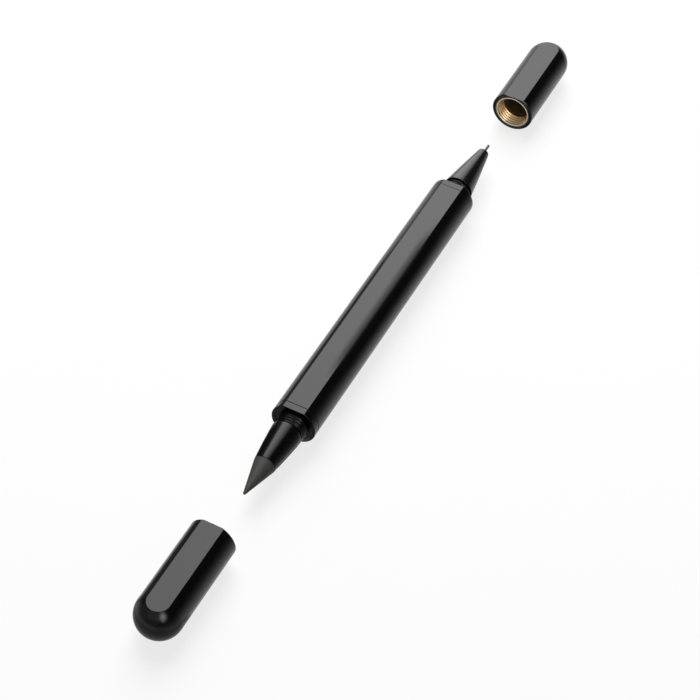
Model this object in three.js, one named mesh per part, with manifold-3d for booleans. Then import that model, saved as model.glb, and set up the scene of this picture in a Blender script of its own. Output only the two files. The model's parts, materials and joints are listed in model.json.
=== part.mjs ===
// A double-ended metal pen: a pen point at one end and a lasting pencil tip at the other,
// each under a screw cap. Both caps are off and lie in line with the barrel, flat side up.
// Millimetres. X runs along the pen towards the pen point, Z is up, the surface it lies on is z = 0.

import * as THREE from 'three';
import { mergeVertices } from 'three/addons/utils/BufferGeometryUtils.js';
import Module from 'manifold-3d';

// Outer section: a circle with one flat, shared by barrel, collars and caps.
const bodyRadius = 5.7;
const flatDepth = 0.7;

// Walls where they are thinnest, at the flat.
const barrelWall = 0.7;
const collarRim = 0.3;
const capRim = 0.4;
const capWall = 0.85;

// Barrel.
const barrelLength = 85;
const collarLength = 1.7;
const collarChamfer = 0.1;
const collarRecess = 0.15;
const collarSpigot = 8.3;
const dividerLength = 4.5;
const cushionDepth = 1.2;
const cushionFloor = 2.5;

// Cap inserts, which screw onto the necks.
const insertLength = 4.2;
const insertWall = 0.45;
const insertChamfer = 0.12;
const insertRecess = 0.05;
const threadRoom = 0.4;

// Necks.
const neckLength = 3.1;
const neckRoot = 0.3;
const neckRootDepth = 0.2;
const neckSpigot = 8.5;
const neckRelief = 0.4;
const neckReliefDepth = 0.3;
const socketDepth = 2.4;
const socketWall = 0.8;

// Cones.
const coneRoom = 0.25;
const coneEdge = 0.15;
const coneSwell = 0.06;
const pencilConeLength = 10.3;
const pencilConeFront = 2.72;
const penConeLength = 15.8;
const penConeFront = 1.45;
const penConeNose = 0.5;

// Pencil tip and its stud.
const tipLength = 9.6;
const tipPoint = 0.35;
const studRadius = 1.1;
const studInCone = 4;
const studInTip = 3;

// Refill.
const refillLength = 67;
const refillRadius = 1.15;
const refillWall = 0.2;
const needleOut = 3.2;
const needleRadius = 0.34;
const needleWall = 0.12;
const needleInSocket = 2;
const tipSocketCone = 4.2;
const tipSocketPlug = 1.5;
const tipSocketFront = 0.66;
const tipSocketHole = 0.15;
const tailPlugLength = 3;
const tailVent = 0.3;
const inkGap = 1;

// Caps, long enough for the longer end, and where they lie when loose.
const tipRoom = 4.15;
const domeWall = 1.35;
const capChamfer = 0.2;
const pencilCapGap = 13.4;
const penCapGap = 14.65;

// Clearances.
const seam = 0.12;
const fit = 0.05;
const boreClearance = 0.15;

// Facets round a turned piece, and steps along a curved profile.
const roundSegments = 48;
const smallSegments = 16;
const domeSteps = 10;
const cavitySteps = 4;
const noseSteps = 3;
const sideSteps = 3;

// Sizes that follow.
const flatHeight = bodyRadius - flatDepth;
const axisHeight = bodyRadius * Math.cos(Math.PI / roundSegments);
const barrelBore = flatHeight - barrelWall;
const spigotRadius = barrelBore - fit;
const insertRadius = flatHeight - capRim - fit;
const insertBore = insertRadius - insertWall;
const cavityRadius = flatHeight - capWall;
const neckRadius = insertBore - threadRoom;
const threadBore = neckRadius - neckRootDepth;
const socketRadius = neckRadius - neckReliefDepth - socketWall;
const coneBase = insertBore - coneRoom;
const refillBore = refillRadius + boreClearance;
const pencilReach = neckLength + pencilConeLength + tipLength;
const penReach = neckLength + penConeLength + needleOut;
const refillTail = penReach - refillLength;
const shoulder = neckLength + penConeLength - penConeNose - tipSocketCone - seam;
const capLength = Math.max(pencilReach, penReach) + tipRoom + domeWall;
const domeCentre = capLength - bodyRadius;
const cavityCentre = capLength - domeWall - cavityRadius;
const halfLeft = barrelLength / 2 + pencilReach + pencilCapGap + capLength;
const halfRight = barrelLength / 2 + penReach + penCapGap + capLength;

const wasm = await Module();
wasm.setup();

// A welded copy of a geometry with no flat triangles and its faces pointing out.
function welded(geometry) {
  const bare = geometry.clone();
  bare.deleteAttribute('normal');
  bare.deleteAttribute('uv');
  const merged = mergeVertices(bare, 1e-5);
  const at = merged.getAttribute('position');
  const source = merged.getIndex().array;
  const kept = [];
  let volume = 0;
  const a = new THREE.Vector3();
  const b = new THREE.Vector3();
  const c = new THREE.Vector3();
  for (let i = 0; i < source.length; i += 3) {
    const [p, q, r] = [source[i], source[i + 1], source[i + 2]];
    if (p === q || q === r || r === p) continue;
    kept.push(p, q, r);
    a.fromBufferAttribute(at, p);
    b.fromBufferAttribute(at, q);
    c.fromBufferAttribute(at, r);
    volume += a.dot(b.cross(c));
  }
  if (volume < 0) kept.reverse();
  merged.setIndex(kept);
  return merged;
}

function toSolid(geometry) {
  const mesh = welded(geometry);
  return new wasm.Manifold(new wasm.Mesh({
    numProp: 3,
    vertProperties: new Float32Array(mesh.getAttribute('position').array),
    triVerts: new Uint32Array(mesh.getIndex().array),
  }));
}

function toGeometry(solid) {
  const mesh = solid.getMesh();
  const geometry = new THREE.BufferGeometry();
  geometry.setAttribute('position', new THREE.BufferAttribute(mesh.vertProperties, 3));
  geometry.setIndex(new THREE.BufferAttribute(mesh.triVerts, 1));
  return geometry;
}

// Turns a profile of [along, radius] points about the pen's axis, with a facet square to Z.
function turned(profile, segments = roundSegments) {
  const points = profile.map(([along, radius]) => new THREE.Vector2(radius, along));
  const onAxis = points[0].x === 0 && points[points.length - 1].x === 0;
  if (!onAxis) points.push(points[0].clone());
  const lathe = new THREE.LatheGeometry(points, segments, Math.PI / segments);
  lathe.rotateZ(-Math.PI / 2);
  return welded(lathe);
}

// Takes off everything above the flat.
function withFlat(geometry) {
  geometry.computeBoundingBox();
  const { min, max } = geometry.boundingBox;
  const length = 2 * (max.x - min.x);
  const cutter = new THREE.BoxGeometry(length, 4 * bodyRadius, 2 * bodyRadius);
  cutter.translate((min.x + max.x) / 2, 0, flatHeight + bodyRadius);
  return toGeometry(toSolid(geometry).subtract(toSolid(cutter)));
}

// Points on an arc about [centre, 0] of the profile plane, from and to in degrees from the axis.
function arc(centre, rise, radius, from, to, steps) {
  const points = [];
  for (let i = 0; i <= steps; i += 1) {
    const angle = THREE.MathUtils.degToRad(from + ((to - from) * i) / steps);
    const up = Math.sin(angle) * radius;
    points.push([centre + Math.cos(angle) * radius, Math.abs(up) < 1e-9 ? rise : rise + up]);
  }
  return points;
}

// The side of a cone from [startX, startR] to [endX, endR], swelling a little in the middle.
function coneSide(startX, startR, endX, endR) {
  const points = [];
  for (let i = 0; i <= sideSteps; i += 1) {
    const share = i / sideSteps;
    const swell = coneSwell * 4 * share * (1 - share);
    points.push([startX + (endX - startX) * share, startR + (endR - startR) * share + swell]);
  }
  return points;
}

// Barrel pieces. The tube is centred on the origin.
function barrelTube() {
  const half = barrelLength / 2 - collarLength - seam;
  return withFlat(turned([
    [-half, barrelBore],
    [-half, bodyRadius],
    [half, bodyRadius],
    [half, barrelBore],
  ]));
}

// A collar's outer face is at 0 and its spigot runs back into the barrel.
function endCollar() {
  const recess = flatHeight - collarRim;
  return withFlat(turned([
    [-collarLength - collarSpigot, threadBore + fit],
    [-collarLength - collarSpigot, spigotRadius],
    [-collarLength, spigotRadius],
    [-collarLength, bodyRadius],
    [-collarChamfer, bodyRadius],
    [0, bodyRadius - collarChamfer],
    [0, recess],
    [-collarRecess, recess],
    [-collarRecess, threadBore + fit],
  ]));
}

function cushion() {
  const face = refillTail + cushionDepth - fit;
  return turned([
    [refillTail - fit - cushionFloor, 0],
    [refillTail - fit - cushionFloor, spigotRadius],
    [face, spigotRadius],
    [face, refillBore],
    [refillTail - fit, refillBore],
    [refillTail - fit, 0],
  ]);
}

function divider() {
  const face = refillTail - fit - cushionFloor - seam;
  return turned([
    [face - dividerLength, 0],
    [face - dividerLength, spigotRadius],
    [face, spigotRadius],
    [face, 0],
  ]);
}

// Neck, cones, tip and refill are drawn from the collar's outer face at 0, pointing away from the barrel.
function neck(bore) {
  const front = neckLength - seam;
  const socketFloor = neckLength - socketDepth;
  return turned([
    [-neckSpigot, bore],
    [-neckSpigot, threadBore],
    [neckRoot, threadBore],
    [neckRoot, neckRadius],
    [front - neckRelief, neckRadius],
    [front - neckRelief, neckRadius - neckReliefDepth],
    [front, neckRadius - neckReliefDepth],
    [front, socketRadius],
    [socketFloor, socketRadius],
    [socketFloor, bore],
  ]);
}

function pencilCone() {
  const front = neckLength + pencilConeLength;
  const bore = studRadius + fit;
  const rear = neckLength - socketDepth + seam;
  return turned([
    [rear, 0],
    [rear, socketRadius - fit],
    [neckLength, socketRadius - fit],
    [neckLength, coneBase - coneEdge],
    ...coneSide(neckLength + coneEdge, coneBase, front, pencilConeFront),
    [front, bore],
    [front - studInCone - seam, bore],
    [front - studInCone - seam, 0],
  ]);
}

function pencilTip() {
  const rear = neckLength + pencilConeLength + seam;
  const holeFloor = rear + studInTip + seam;
  const slope = Math.atan2(pencilConeFront - tipPoint, tipLength);
  const round = THREE.MathUtils.radToDeg(Math.PI / 2 - slope);
  return turned([
    [holeFloor, 0],
    [holeFloor, studRadius + fit],
    [rear, studRadius + fit],
    [rear, pencilConeFront],
    ...arc(pencilReach - tipPoint, 0, tipPoint, round, 0, noseSteps),
  ]);
}

function tipStud() {
  const seat = neckLength + pencilConeLength;
  return turned([
    [seat - studInCone, 0],
    [seat - studInCone, studRadius],
    [seat + seam + studInTip, studRadius],
    [seat + seam + studInTip, 0],
  ], smallSegments);
}

function penCone() {
  const front = neckLength + penConeLength;
  const rear = neckLength - socketDepth + seam;
  return turned([
    [rear, refillBore],
    [rear, socketRadius - fit],
    [neckLength, socketRadius - fit],
    [neckLength, coneBase - coneEdge],
    ...coneSide(neckLength + coneEdge, coneBase, front - penConeNose, penConeFront),
    ...arc(front - penConeNose, penConeFront - penConeNose, penConeNose, 90, 0, noseSteps).slice(1),
    [front, needleRadius + boreClearance],
    [front - penConeNose, needleRadius + boreClearance],
    [front - penConeNose, tipSocketFront + boreClearance],
    [shoulder, refillBore],
  ]);
}

// The refill's tube ends at a shoulder, where its tip socket begins.
function refillTube() {
  const inner = refillRadius - refillWall;
  return turned([
    [refillTail, inner],
    [refillTail, refillRadius],
    [shoulder - seam, refillRadius],
    [shoulder - seam, inner],
  ], smallSegments);
}

function tipSocket() {
  const plug = refillRadius - refillWall - fit;
  const front = shoulder + tipSocketCone;
  return turned([
    [shoulder - seam - tipSocketPlug, tipSocketHole],
    [shoulder - seam - tipSocketPlug, plug],
    [shoulder, plug],
    [shoulder, refillRadius],
    [shoulder + seam, refillRadius],
    [front, tipSocketFront],
    [front, needleRadius + fit],
    [front - needleInSocket, needleRadius + fit],
    [front - needleInSocket, tipSocketHole],
  ], smallSegments);
}

function needle() {
  const rear = shoulder + tipSocketCone - needleInSocket + seam;
  const ball = needleRadius - needleWall / 2;
  return turned([
    [rear, tipSocketHole],
    [rear, needleRadius],
    [penReach - ball, needleRadius],
    [penReach - ball / 2, needleRadius - needleWall / 4],
    [penReach - ball / 2, ball],
    [penReach - 2 * ball, ball],
    [penReach - 2 * ball, tipSocketHole],
  ], smallSegments);
}

function ball() {
  const radius = needleRadius - needleWall / 2 - fit / 2;
  return turned(arc(penReach - radius, 0, radius, 180, 0, noseSteps * 2), smallSegments);
}

function ink() {
  const radius = refillRadius - refillWall - fit;
  return turned([
    [refillTail + tailPlugLength + inkGap, 0],
    [refillTail + tailPlugLength + inkGap, radius],
    [shoulder - seam - tipSocketPlug - seam, radius],
    [shoulder - seam - tipSocketPlug - seam, 0],
  ], smallSegments);
}

function tailPlug() {
  const radius = refillRadius - refillWall - fit;
  return turned([
    [refillTail, tailVent],
    [refillTail, radius],
    [refillTail + tailPlugLength, radius],
    [refillTail + tailPlugLength, tailVent],
  ], smallSegments);
}

// A cap's mouth is at 0 and its dome points away from the barrel.
function capShell() {
  const seat = insertRadius + fit;
  const seatDepth = insertRecess + insertLength + seam;
  return withFlat(turned([
    ...arc(cavityCentre, 0, cavityRadius, 0, 90, cavitySteps),
    [seatDepth, cavityRadius],
    [seatDepth, seat],
    [0, seat],
    [0, bodyRadius - capChamfer],
    [capChamfer, bodyRadius],
    ...arc(domeCentre, 0, bodyRadius, 90, 0, domeSteps),
  ]));
}

function capInsert() {
  const face = insertRecess;
  return turned([
    [face, insertBore + insertChamfer],
    [face, insertRadius],
    [face + insertLength, insertRadius],
    [face + insertLength, insertBore],
    [face + insertChamfer, insertBore],
  ]);
}

// Finishes, as the photograph shows them.
const finishes = {
  black: { color: 0x0b0b0c, roughness: 0.3, metalness: 0.6 },
  darkThread: { color: 0x1a1a1a, roughness: 0.4, metalness: 0.7 },
  graphite: { color: 0x3e3e3a, roughness: 0.75, metalness: 0.2 },
  brass: { color: 0xb08a58, roughness: 0.3, metalness: 1 },
  steel: { color: 0xb8b8b8, roughness: 0.3, metalness: 1 },
  rubber: { color: 0x202020, roughness: 0.9, metalness: 0 },
  plastic: { color: 0xd8d8d4, roughness: 0.5, metalness: 0 },
  ink: { color: 0x08080a, roughness: 0.4, metalness: 0 },
};

function piece(name, geometry, finish) {
  const mesh = new THREE.Mesh(geometry, new THREE.MeshStandardMaterial(finishes[finish]));
  mesh.name = name;
  return mesh;
}

// The pen end is drawn facing +X. The pencil end is the same frame turned about Z.
const penEnd = new THREE.Group();
penEnd.position.x = barrelLength / 2;
penEnd.add(
  piece('pen_end_collar', endCollar(), 'black'),
  piece('divider_plug', divider(), 'plastic'),
  piece('refill_cushion', cushion(), 'rubber'),
  piece('pen_neck', neck(refillBore), 'darkThread'),
  piece('pen_cone', penCone(), 'black'),
  piece('refill_tube', refillTube(), 'steel'),
  piece('refill_ink', ink(), 'ink'),
  piece('refill_tail_plug', tailPlug(), 'plastic'),
  piece('refill_tip_socket', tipSocket(), 'brass'),
  piece('refill_needle', needle(), 'steel'),
  piece('refill_ball', ball(), 'steel'),
);

const pencilEnd = new THREE.Group();
pencilEnd.position.x = -barrelLength / 2;
pencilEnd.rotation.z = Math.PI;
pencilEnd.add(
  piece('pencil_end_collar', endCollar(), 'black'),
  piece('pencil_neck', neck(refillBore), 'darkThread'),
  piece('pencil_cone', pencilCone(), 'black'),
  piece('pencil_tip', pencilTip(), 'graphite'),
  piece('pencil_tip_stud', tipStud(), 'steel'),
);

function looseCap(prefix, mouth) {
  const cap = new THREE.Group();
  cap.position.x = mouth;
  cap.add(
    piece(`${prefix}_cap_shell`, capShell(), 'black'),
    piece(`${prefix}_cap_insert`, capInsert(), 'brass'),
  );
  return cap;
}

penEnd.add(looseCap('pen', penReach + penCapGap));
pencilEnd.add(looseCap('pencil', pencilReach + pencilCapGap));

const pen = new THREE.Group();
pen.position.set((halfLeft - halfRight) / 2, 0, axisHeight);
pen.add(piece('barrel_tube', barrelTube(), 'black'), penEnd, pencilEnd);

export default pen;
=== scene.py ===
"""A double-ended metal pen, both screw caps off and lying in line with it, flat side up on a pale floor."""

import json
import math

import bpy
from mathutils import Matrix, Vector

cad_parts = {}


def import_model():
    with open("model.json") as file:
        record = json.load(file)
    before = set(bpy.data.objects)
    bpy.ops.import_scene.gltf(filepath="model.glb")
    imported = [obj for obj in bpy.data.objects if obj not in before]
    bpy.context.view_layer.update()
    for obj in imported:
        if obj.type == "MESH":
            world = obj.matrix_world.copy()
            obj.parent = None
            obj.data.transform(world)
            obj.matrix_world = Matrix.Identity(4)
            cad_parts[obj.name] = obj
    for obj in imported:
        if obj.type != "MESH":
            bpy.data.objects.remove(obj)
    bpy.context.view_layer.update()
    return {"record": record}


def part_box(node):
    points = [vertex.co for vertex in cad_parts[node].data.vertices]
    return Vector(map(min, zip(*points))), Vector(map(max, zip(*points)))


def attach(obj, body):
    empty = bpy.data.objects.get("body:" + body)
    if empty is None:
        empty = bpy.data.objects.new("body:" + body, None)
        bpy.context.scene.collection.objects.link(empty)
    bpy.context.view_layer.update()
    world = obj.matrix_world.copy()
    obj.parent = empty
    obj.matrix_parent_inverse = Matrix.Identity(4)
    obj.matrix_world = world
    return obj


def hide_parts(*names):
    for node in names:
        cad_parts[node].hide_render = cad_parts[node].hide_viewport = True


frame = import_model()
record = frame["record"]
BODY_OF = {node: body for body, nodes in record["behaviour"]["bodies"].items() for node in nodes}

# Sizes are in millimetres until a mesh is made.
MM = 0.001

# Outer section: a circle with one flat, whose long edges are turned on a small radius.
BARREL_LOW, BARREL_HIGH = (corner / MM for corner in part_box("barrel_tube"))
BODY_RADIUS = BARREL_HIGH.y
AXIS_HEIGHT = BARREL_LOW.z + BODY_RADIUS
FLAT = BARREL_HIGH.z - AXIS_HEIGHT
FLAT_EDGE = 0.12

# Between the barrel's ends the finish makes the flat's front edge look turned on a large radius.
SOFT_LONG_EDGE = 4.75
SOFT_MIDDLE = -2.5
SOFT_REACH = 31
SOFT_RUN_OUT = 13

# Edges broken on turned pieces, and how near to an edge a surface is held straight.
FINE_EDGE = 0.05
TIGHT_EDGE = 0.012
SOFT_EDGE = 0.12
BROAD_EDGE = 0.2
HOLD = 0.04
HOLD_SHARE = 0.9

# Room between pieces that sit in one another, and what counts as no difference.
FIT = 0.05
SAME_RADIUS = 1e-4
ON_AXIS = 1e-6

# Steps round and along.
ROUND_STEPS = 96
SMALL_STEPS = 40
FLAT_STEPS = 12
EDGE_STEPS = 4
DOME_STEPS = 48
CAVITY_STEPS = 24
SIDE_STEPS = 24
BARREL_ROWS = 64
LONG_STRETCH = 1
CREASE = math.radians(35)

# Threads: a row of the mesh every so far along, then the thread itself.
THREAD_ROW = 0.05
THREAD_SURFACE = 0.01
THREAD_PITCH = 0.85
NECK_THREAD = 0.3
INSERT_THREAD = 0.3
CREST_RAMP = 1.2
THREAD_RUN_OUT = 0.4


def face_of(node, side):
    """Where the outer face of an end's collar lies along X."""
    low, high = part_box(node)
    return (high.x if side > 0 else low.x) / MM


# Each end is drawn from its collar's outer face at 0, pointing away from the barrel.
PEN_SIDE = (face_of("pen_end_collar", 1), 1)
PENCIL_SIDE = (face_of("pencil_end_collar", -1), -1)
MIDDLE = (0.0, 1)


def reach(node, end):
    """Nearest and farthest distance of a node along an end's own axis."""
    face, side = end
    low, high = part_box(node)
    return sorted(((low.x / MM - face) * side, (high.x / MM - face) * side))


def widest(node):
    """Radius of a round node, from the breadth of its facets."""
    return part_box(node)[1].y / MM


# Profiles and sections.


def rounded(corners, closed=True):
    """Rows (along, radius) of a profile whose corners (along, radius, edge) are turned on an edge radius."""
    rows = []
    for i, (along, radius, edge) in enumerate(corners):
        if not edge or (not closed and i in (0, len(corners) - 1)):
            rows.append((along, radius))
            continue
        corner = Vector((along, radius))
        back = (Vector(corners[i - 1][:2]) - corner).normalized()
        ahead = (Vector(corners[(i + 1) % len(corners)][:2]) - corner).normalized()
        half = back.angle(ahead) / 2
        start = corner + back * edge / math.tan(half)
        stop = corner + ahead * edge / math.tan(half)
        centre = corner + (back + ahead).normalized() * edge / math.sin(half)
        rows.append(tuple(start + back * HOLD))
        for step in range(EDGE_STEPS + 1):
            share = step / EDGE_STEPS
            spoke = (start - centre).normalized().slerp((stop - centre).normalized(), share)
            rows.append(tuple(centre + spoke * edge))
        rows.append(tuple(stop + ahead * HOLD))
    return rows


def spaced(start, stop, step):
    """Numbers from start to stop, both included, about step apart."""
    count = max(1, round(abs(stop - start) / step))
    return [start + (stop - start) * i / count for i in range(count + 1)]


def level(row, after, radius):
    """Whether two rows both lie at a radius."""
    return max(abs(row[1] - radius), abs(after[1] - radius)) < SAME_RADIUS


def flat_half(radius, flat):
    """Half a section as (side, rise), from the middle of the flat round to the bottom."""
    side = math.sqrt((radius - FLAT_EDGE) ** 2 - (flat - FLAT_EDGE) ** 2)
    turn = math.atan2(side, flat - FLAT_EDGE)
    points = [(side * i / FLAT_STEPS, flat) for i in range(FLAT_STEPS)]
    points.append((max(side - HOLD, side * HOLD_SHARE), flat))
    for i in range(EDGE_STEPS + 1):
        angle = turn * i / EDGE_STEPS
        out = FLAT_EDGE * math.sin(angle)
        up = FLAT_EDGE * math.cos(angle)
        points.append((side + out, flat - FLAT_EDGE + up))
    held = turn + HOLD / radius
    for angle in [held] + spaced(held, math.pi, 2 * math.pi / ROUND_STEPS)[1:]:
        points.append((radius * math.sin(angle), radius * math.cos(angle)))
    return points


# Every ring of a piece with the flat has its points at the same turns, so rings join point to point.
HALF_ANGLES = [math.atan2(side, rise) for side, rise in flat_half(BODY_RADIUS, FLAT)]
HALF = len(HALF_ANGLES) - 1


def section(along, radius, flat=None):
    """One ring of a piece that has the flat. A ring smaller than the flat's height is a plain circle."""
    if flat is None or radius <= flat:
        half = [(radius * math.sin(a), radius * math.cos(a)) for a in HALF_ANGLES]
    else:
        half = flat_half(radius, flat)
    right = [Vector((along, side, rise)) for side, rise in half]
    left = [Vector((along, -side, rise)) for side, rise in half[-2:0:-1]]
    return right + left


def circle(along, radius, steps):
    """One ring of a round piece, or its point on the axis."""
    if radius < ON_AXIS:
        return [Vector((along, 0, 0))]
    turns = [2 * math.pi * i / steps for i in range(steps)]
    return [Vector((along, radius * math.sin(a), radius * math.cos(a))) for a in turns]


def eased(height, distance, edge):
    """Height of a surface that is rounded off by edge where it meets an end face."""
    if distance >= edge:
        return height
    return height - edge + math.sqrt(edge**2 - (edge - max(distance, 0)) ** 2)


def sections(rows, ends, edges=(FINE_EDGE, FINE_EDGE)):
    """Rings of a piece with the flat, which is eased where it meets the end faces."""
    low, high = ends
    made = []
    for along, radius in rows:
        flat = min(eased(FLAT, along - low, edges[0]), eased(FLAT, high - along, edges[1]))
        made.append(section(along, radius, flat))
    return made


def circles(rows, steps=ROUND_STEPS):
    """Rings of a round piece."""
    return [circle(along, radius, steps) for along, radius in rows]


# Meshes.


class Skin:
    """Vertices and faces of one closed surface, in an end's own frame."""

    def __init__(self):
        self.points = []
        self.faces = []

    def add(self, ring):
        """Keeps a ring's points and gives their numbers."""
        first = len(self.points)
        self.points.extend(ring)
        return list(range(first, len(self.points)))

    def join(self, one, other, closed=True):
        """Faces between two rings or rows, where either may be a single point."""
        count = max(len(one), len(other))
        for i in range(count if closed else count - 1):
            j = (i + 1) % count
            near = [one[i % len(one)], one[j % len(one)]]
            far = [other[j % len(other)], other[i % len(other)]]
            face = list(dict.fromkeys(near + far))
            if len(face) > 2:
                self.faces.append(face)

    def rings(self, rings, closed):
        """Joins rings in turn, and the last to the first if the profile is closed."""
        kept = [self.add(ring) for ring in rings]
        for one, other in zip(kept, kept[1:]):
            self.join(one, other)
        if closed:
            self.join(kept[-1], kept[0])
        return kept

    def mesh(self, name, end):
        """The surface as a mesh in metres, placed on its end of the pen with its faces pointing out."""
        face, side = end
        volume = 0
        for corners in self.faces:
            a = self.points[corners[0]]
            for i, j in zip(corners[1:], corners[2:]):
                volume += a.dot(self.points[i].cross(self.points[j]))
        faces = [list(reversed(corners)) for corners in self.faces] if volume < 0 else self.faces
        place = Matrix.Scale(MM, 4) @ Matrix.Translation((face, 0, AXIS_HEIGHT))
        if side < 0:
            place = place @ Matrix.Rotation(math.pi, 4, "Z")
        made = bpy.data.meshes.new(name)
        made.from_pydata([place @ point for point in self.points], [], faces)
        made.shade_smooth()
        made.set_sharp_from_angle(angle=CREASE)
        return made


def ring_mesh(name, rings, end, closed=True):
    """A mesh from rings alone. The profile is closed, or it starts and stops on the axis."""
    skin = Skin()
    skin.rings(rings, closed)
    return skin.mesh(name, end)


# Node graphs: shader and geometry arithmetic written as expressions.


class Value:
    """A node's output that takes part in plain arithmetic."""

    def __init__(self, graph, socket):
        self.graph = graph
        self.socket = socket

    def math(self, operation, *others):
        """A Math node on this value and others."""
        inputs = {i: other for i, other in enumerate((self, *others))}
        return self.graph.node("ShaderNodeMath", {"operation": operation}, inputs)

    def reflected(self, operation, other):
        """A Math node with this value second, as in 1 - mask."""
        inputs = {0: other, 1: self}
        return self.graph.node("ShaderNodeMath", {"operation": operation}, inputs)

    def __add__(self, other):
        return self.math("ADD", other)

    def __radd__(self, other):
        return self.reflected("ADD", other)

    def __sub__(self, other):
        return self.math("SUBTRACT", other)

    def __rsub__(self, other):
        return self.reflected("SUBTRACT", other)

    def __mul__(self, other):
        return self.math("MULTIPLY", other)

    def __rmul__(self, other):
        return self.reflected("MULTIPLY", other)

    def __truediv__(self, other):
        return self.math("DIVIDE", other)

    def __pow__(self, other):
        return self.math("POWER", other)

    def __lt__(self, other):
        return self.math("LESS_THAN", other)

    def __gt__(self, other):
        return self.math("GREATER_THAN", other)

    def within(self):
        """The value kept between 0 and 1."""
        return self.graph.node("ShaderNodeClamp", {}, {"Value": self})

    def fraction(self):
        """What is left above the whole number."""
        return self.math("FRACT")

    def size(self):
        """The value without its sign."""
        return self.math("ABSOLUTE")


class Graph:
    """A node tree under construction."""

    def __init__(self, tree):
        self.tree = tree

    def node(self, kind, settings=None, inputs=None, output=0):
        """Adds a node: its settings first, then its inputs' values or links. Gives one output."""
        made = self.tree.nodes.new(kind)
        for name, value in (settings or {}).items():
            if name == "stops":
                self.stops(made.color_ramp, value)
            else:
                setattr(made, name, value)
        for name, value in (inputs or {}).items():
            if isinstance(value, Value):
                self.tree.links.new(value.socket, made.inputs[name])
            else:
                made.inputs[name].default_value = value
        return Value(self, made.outputs[output]) if len(made.outputs) else made

    @staticmethod
    def stops(ramp, stops):
        """Sets a colour ramp's stops, each a position and a colour."""
        while len(ramp.elements) < len(stops):
            ramp.elements.new(0.5)
        for element, (position, colour) in zip(ramp.elements, stops):
            element.position = position
            element.color = (*colour, 1)

    def axes(self, vector):
        """The X, Y and Z of a vector."""
        split = self.node("ShaderNodeSeparateXYZ", {}, {0: vector}).socket.node
        return [Value(self, split.outputs[axis]) for axis in range(3)]

    def vector(self, x, y, z):
        """One vector from three values."""
        return self.node("ShaderNodeCombineXYZ", {}, {0: x, 1: y, 2: z})


# Finishes.


class Finish(Graph):
    """A procedural material. Constants sit on the shader's own sockets."""

    def __init__(self, name, **constants):
        self.material = bpy.data.materials.new(name)
        self.material.use_nodes = True
        super().__init__(self.material.node_tree)
        self.tree.nodes.clear()
        surface = self.node("ShaderNodeBsdfPrincipled")
        self.shader = surface.socket.node
        self.end = self.node("ShaderNodeOutputMaterial", {}, {"Surface": surface})
        for socket, value in constants.items():
            self.shader.inputs[socket.replace("_", " ")].default_value = value
        self.place = self.node("ShaderNodeTexCoord", output="Object")

    def noise(self, scale, detail=2.0, place=None):
        """Even noise with features about 1 / scale metres across."""
        inputs = {"Vector": place or self.place, "Scale": scale, "Detail": detail}
        return self.node("ShaderNodeTexNoise", {}, inputs, "Fac")

    def streaks(self, along, across):
        """Noise drawn out along the pen, as a die or polish leaves it."""
        inputs = {"Vector": self.place, "Scale": (along, across, across)}
        return self.noise(1.0, place=self.node("ShaderNodeMapping", {}, inputs))

    def turned_place(self):
        """Place along the pen and distance from its axis, in metres."""
        x, y, z = self.axes(self.place)
        rise = z - AXIS_HEIGHT * MM
        return x, (y * y + rise * rise) ** 0.5

    def turning(self, along, across):
        """Noise in rings round the pen's axis, as a lathe leaves it."""
        x, radius = self.turned_place()
        return self.noise(1.0, place=self.vector(x * along, radius * across, 0.0))

    def blend(self, factor, one, other):
        """Mixes two colours, each a plain colour or one that a node makes."""
        one, other = (c if isinstance(c, Value) else (*c, 1) for c in (one, other))
        inputs = {"Factor": factor, 6: one, 7: other}
        return self.node("ShaderNodeMix", {"data_type": "RGBA"}, inputs, 2)

    def set(self, **links):
        """Links what changes over the surface to the shader."""
        for socket, value in links.items():
            self.tree.links.new(value.socket, self.shader.inputs[socket.replace("_", " ")])

    def relief(self, height, distance):
        """Raises the surface by a height times a distance in millimetres, in its shading alone."""
        inputs = {"Height": height, "Distance": distance * MM}
        self.set(Normal=self.node("ShaderNodeBump", {}, inputs))


BLACK_IOR = 1.33
THREAD_IOR = 1.26

# The caps' hollows, painted brown for the brass that they mirror, and their mouths, whose brass rims carry a
# painted highlight. Both caps lie equally far out.
HOLLOW_RADIUS = 4.8
DOME_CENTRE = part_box("pen_cap_shell")[1].x / MM - BODY_RADIUS
CAP_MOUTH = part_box("pen_cap_shell")[0].x / MM
INSERT_EDGE = 0.12
RIM_DEPTH = 0.13


def soft_long_edge(x, y, z):
    """How far the flat's front edge stands out of a large edge radius, which runs out towards both ends.

    The place is in metres and the answer in millimetres.
    """
    centre = math.sqrt((BODY_RADIUS - SOFT_LONG_EDGE) ** 2 - (FLAT - SOFT_LONG_EDGE) ** 2)
    side = -1 * y / MM - centre
    up = z / MM - AXIS_HEIGHT - FLAT + SOFT_LONG_EDGE
    in_wedge = (side > 0.0) * (up * centre > side * (FLAT - SOFT_LONG_EDGE))
    share = ((SOFT_REACH - (x / MM - SOFT_MIDDLE).size()) / SOFT_RUN_OUT).within()
    along = share * share * (3 - 2 * share)
    excess = ((side * side + up * up) ** 0.5 - SOFT_LONG_EDGE).math("MAXIMUM", 0.0)
    return excess * in_wedge * along


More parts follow.
